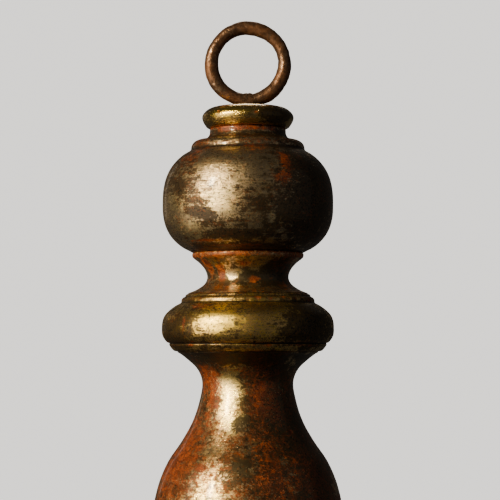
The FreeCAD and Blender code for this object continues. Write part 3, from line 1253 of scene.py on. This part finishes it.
# On the spool, the tarnish row at 40 degrees darkens the side away from the key lamp: partly tarnish, partly painted
# shade.
SPOOL_PATCHES = patches(
    rub=(
        (-40, 106.8, 16, 1.9, 1.3), (-39, 116, 3.4, 5.4, 1.6), (-60, 113, 5, 7, 0.8), (-4, 112, 6, 2.6, 0.7),
        (8, 119, 4.5, 2.4, 1.0), (-22, 117, 5, 4, -0.9), (-10, 115, 34, 9, -0.40), (150, 112, 26, 7, -0.30),
        (110, 118, 6, 5, 0.7), (-130, 108, 16, 3, 0.8),
    ),
    tarnish=((40, 115, 16, 12, 0.5), (-22, 117, 6, 4, -0.9), (-58, 111, 4, 3, 0.7)),
)
# On the collar, the tarnish row at 42 degrees darkens the side away from the key lamp: partly tarnish, partly
# painted shade. The gilt row at -20 degrees and the tarnish row of negative strength at -22 degrees are a painted
# highlight: paler, cleaner leaf where the key lamp's highlight falls.
COLLAR_PATCHES = patches(
    rub=(
        (-47, 140, 1.7, 3.6, 1.0), (-36, 132, 10, 3, 0.55), (-60, 137, 8, 6, 0.2), (100, 146, 8, 4, 0.6),
        (-170, 133, 14, 3, 0.6),
    ),
    tarnish=((42, 141, 24, 13, 0.45), (-62, 144, 14, 10, 0.4), (-22, 139, 15, 7, -0.40), (10, 142, 14, 8, -0.2)),
    gilt=((-20, 139, 16, 8, 0.8),),
)
# On the pear, the tarnish row at 50 degrees is painted shade: it darkens the whole side away from the key lamp, bole
# and leaf. The gilt rows at -20 and -26 degrees and the tarnish rows of negative strength at -24 and -28 degrees are
# painted highlights: paler, cleaner leaf where the key lamp's highlights fall. The rows at a height of 155 darken a
# band all round just under the collar.
PEAR_PATCHES = patches(
    rub=(
        (-60, 165, 9, 12, 0.45), (14, 174, 6, 13, 0.25), (-20, 172, 8, 20, -0.34), (-46, 172, 6, 20, 0.34),
        (-14, 187, 10, 6, -0.45), (-64, 205, 18, 28, 0.34), (-30, 200, 13, 12, -0.10), (-34, 207, 5, 3, 0.35),
        (-28, 226, 16, 14, -0.30), (-4, 206, 10, 8, -0.35), (45, 215, 26, 34, 0.06), (110, 195, 22, 30, 0.35),
        (160, 235, 34, 26, 0.40), (-150, 180, 14, 26, 0.45), (-115, 240, 26, 24, 0.35), (178, 200, 10, 18, -0.30),
        (20, 262, 30, 12, 0.35), (-70, 266, 24, 10, 0.40), (0, 155, 90, 8, -0.25), (180, 155, 90, 8, -0.25),
    ),
    tarnish=(
        (-30, 200, 13, 14, -0.20), (-4, 206, 10, 8, 0.10), (-24, 176, 8, 22, -0.35), (-28, 222, 14, 12, -0.25),
        (50, 195, 30, 62, 0.55), (0, 155, 90, 6, 0.30), (180, 155, 90, 6, 0.30),
    ),
    gilt=((-20, 174, 10, 22, 0.8), (-26, 222, 14, 16, 0.6)),
)


@dataclass(frozen=True)
class Lamp:
    """A soft rectangular lamp that faces the pendant's middle.

    The angle is degrees from the front, positive towards +X, and the rise is degrees above the middle. The distance
    and the size, width then height, are metres.
    """

    name: str
    angle: float
    rise: float
    distance: float
    size: Point
    watts: float
    colour: Colour

    def hang(self) -> None:
        """Put the lamp in the scene."""
        data = bpy.data.lights.new(self.name, "AREA")
        data.shape = "RECTANGLE"
        data.size, data.size_y = self.size
        data.energy = self.watts
        data.color = self.colour
        lamp = bpy.data.objects.new(self.name, data)
        a, e = math.radians(self.angle), math.radians(self.rise)
        out = Vector((math.sin(a) * math.cos(e), -math.cos(a) * math.cos(e), math.sin(e)))
        lamp.location = PENDANT_MIDDLE + out * self.distance
        lamp.rotation_mode = "QUATERNION"
        lamp.rotation_quaternion = out.to_track_quat("Z", "Y")
        bpy.context.scene.collection.objects.link(lamp)


PENDANT_MIDDLE = Vector((0, 0, -0.12))
LAMPS = (
    Lamp("key_softbox", -51, 23, 1.5, (0.14, 0.34), 15, (1.0, 0.86, 0.60)),
    Lamp("side_softbox", -62, 4, 1.4, (1.3, 1.5), 9.0, (1.0, 0.88, 0.71)),
    Lamp("rim_strip", -146, 12, 1.5, (0.10, 0.7), 0.2, (1.0, 0.86, 0.68)),
    Lamp("fill_softbox", 62, 12, 2.4, (2.8, 2.8), 2.0, (0.95, 0.96, 1.0)),
    Lamp("back_softbox", 180, 38, 2.4, (0.6, 0.6), 4.5, (1.0, 0.95, 0.88)),
)
STAGE_PAINT = StageFinish("studio_paint", (0.86, 0.84, 0.81), 1.15)


@dataclass
class Studio:
    """The floor, lights and camera."""

    radius: float = 3.0
    cove: float = 0.9
    height: float = 6.0
    floor_below: float = 0.85
    camera_distance: float = 0.912
    camera_height: float = -0.150
    camera_right: float = 0.001
    camera_pitch: float = 2.86
    lens: float = 136.8
    air: Colour = (0.95, 0.93, 0.90)
    air_strength: float = 0.05

    def stage(self) -> bpy.types.Object:
        """Make a round pale floor that curves up into a wall.

        Returns:
            The floor.
        """
        floor = cad_box[0].z - self.floor_below
        bm = bmesh.new()
        centre, edge = bm.verts.new((0, 0, floor)), bm.verts.new((0, self.radius - self.cove, floor))
        bm.edges.new((centre, edge))
        cent = (0, self.radius - self.cove, floor + self.cove)
        made = bmesh.ops.spin(bm, geom=[edge], cent=cent, axis=(1, 0, 0), angle=math.pi / 2, steps=12)
        rim = next(v for v in made["geom_last"] if isinstance(v, bmesh.types.BMVert))
        wall = bm.verts.new((0, self.radius, floor + self.height))
        bm.edges.new((rim, wall))
        geom = [*bm.verts, *bm.edges]
        bmesh.ops.spin(bm, geom=geom, cent=(0, 0, 0), axis=UP, angle=math.tau, steps=96, use_merge=True)
        bmesh.ops.remove_doubles(bm, verts=bm.verts, dist=1e-5)
        bmesh.ops.recalc_face_normals(bm, faces=bm.faces)
        floor_piece = as_object(bm, "studio_floor")
        floor_piece.data.materials.append(finish_of(STAGE_PAINT))
        floor_piece.visible_glossy = False
        floor_piece.visible_diffuse = False
        return floor_piece

    def lights(self) -> None:
        """Hang the lamps and set the dim light that comes from all round."""
        for lamp in LAMPS:
            lamp.hang()
        world = bpy.data.worlds.new("studio_air")
        world.use_nodes = True
        air = world.node_tree.nodes["Background"]
        air.inputs["Color"].default_value = (*self.air, 1.0)
        air.inputs["Strength"].default_value = self.air_strength
        bpy.context.scene.world = world

    def camera(self) -> None:
        """Set up the camera, a little below the pendant's middle and looking slightly up."""
        data = bpy.data.cameras.new("camera")
        data.lens = self.lens
        camera = bpy.data.objects.new("camera", data)
        camera.location = (self.camera_right, -self.camera_distance, self.camera_height)
        camera.rotation_euler = (math.radians(90 + self.camera_pitch), 0, 0)
        bpy.context.scene.collection.objects.link(camera)
        bpy.context.scene.camera = camera
        bpy.context.scene.view_settings.look = "AgX - Medium High Contrast"

    def build(self) -> None:
        """Make the stage, the lights and the camera."""
        self.camera()
        self.stage()
        self.lights()


def main() -> None:
    """Build the studio and the pendant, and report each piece."""
    logging.basicConfig(level=logging.INFO, format="%(name)s: %(message)s")
    Studio().build()
    for piece in Pendant().build():
        LOG.info("%s: %d faces", piece.name, len(piece.data.polygons))


if __name__ == "__main__":
    main()
